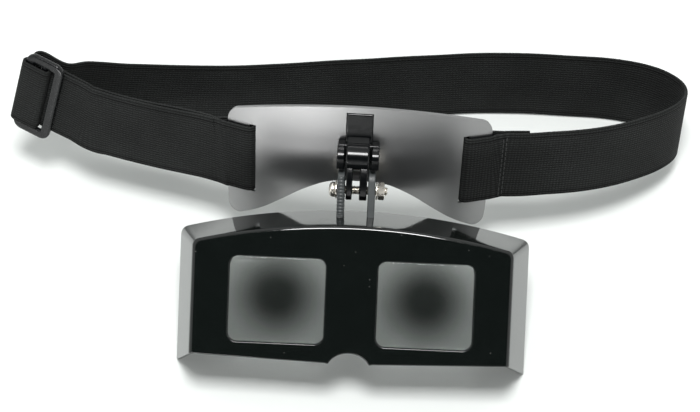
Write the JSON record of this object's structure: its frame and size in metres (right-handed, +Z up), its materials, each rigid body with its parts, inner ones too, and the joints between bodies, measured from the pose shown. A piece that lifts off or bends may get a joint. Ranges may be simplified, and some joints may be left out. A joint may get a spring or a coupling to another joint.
{
  "type": "head visor magnifier",
  "caption": "Head-worn magnifier: a hinged black hood with square lenses on a curved forehead plate, held by an adjustable elastic band.",
  "frame": {"origin": "on the table, under the middle of the bounding box, as the visor lies when it is put down", "axes": "+X along the hinge screw, to the right as seen from the front; +Y towards the back of the headband; +Z up"},
  "size_m": [0.3276, 0.1784, 0.0862],
  "materials": {
    "hood_gloss": "glossy moulded styrene-type plastic",
    "lens_clear": "polished clear acrylic",
    "retainer_satin": "satin moulded",
    "zinc_steel": "zinc plated",
    "bracket_grey": "semi-matt moulded, fine ribs on the edge",
    "nickel_steel": "nickel plated, bright",
    "plate_gloss": "glossy moulded",
    "clip_gloss": "glossy moulded",
    "elastic_black": "woven elastic webbing with fine lengthwise ribs",
    "thread_black": "sewing thread",
    "buckle_plastic": "semi-gloss moulded"
  },
  "bodies": {
    "headband": {"forehead_plate": "plate_gloss", "plate_hinge_clip": "clip_gloss", "elastic_strap": "elastic_black", "loop_stitching": "thread_black"},
    "visor": {"hood_shell": "hood_gloss", "lens_left": "lens_clear", "lens_right": "lens_clear", "lens_retainer": "retainer_satin", "retainer_screw_1": "zinc_steel", "retainer_screw_2": "zinc_steel", "retainer_screw_3": "zinc_steel", "retainer_screw_4": "zinc_steel", "hood_hinge_bracket": "bracket_grey", "hinge_screw": "nickel_steel", "hinge_nut": "nickel_steel", "nut_washer": "nickel_steel", "screw_washer": "nickel_steel"},
    "buckle": {"slide_buckle": "buckle_plastic", "buckle_loop": "elastic_black"}
  },
  "joints": [
    {"name": "visor_tilt", "type": "hinge", "parent": "headband", "child": "visor", "pos_m": [0.00541, -0.01222, 0.05495], "axis": [-1, 0, 0], "range_deg": [-32, 58]},
    {"name": "buckle_slide", "type": "slide", "parent": "headband", "child": "buckle", "axis": [0.9093, -0.3846, -0.159], "range_m": [-0.008, 0.008]}
  ]
}
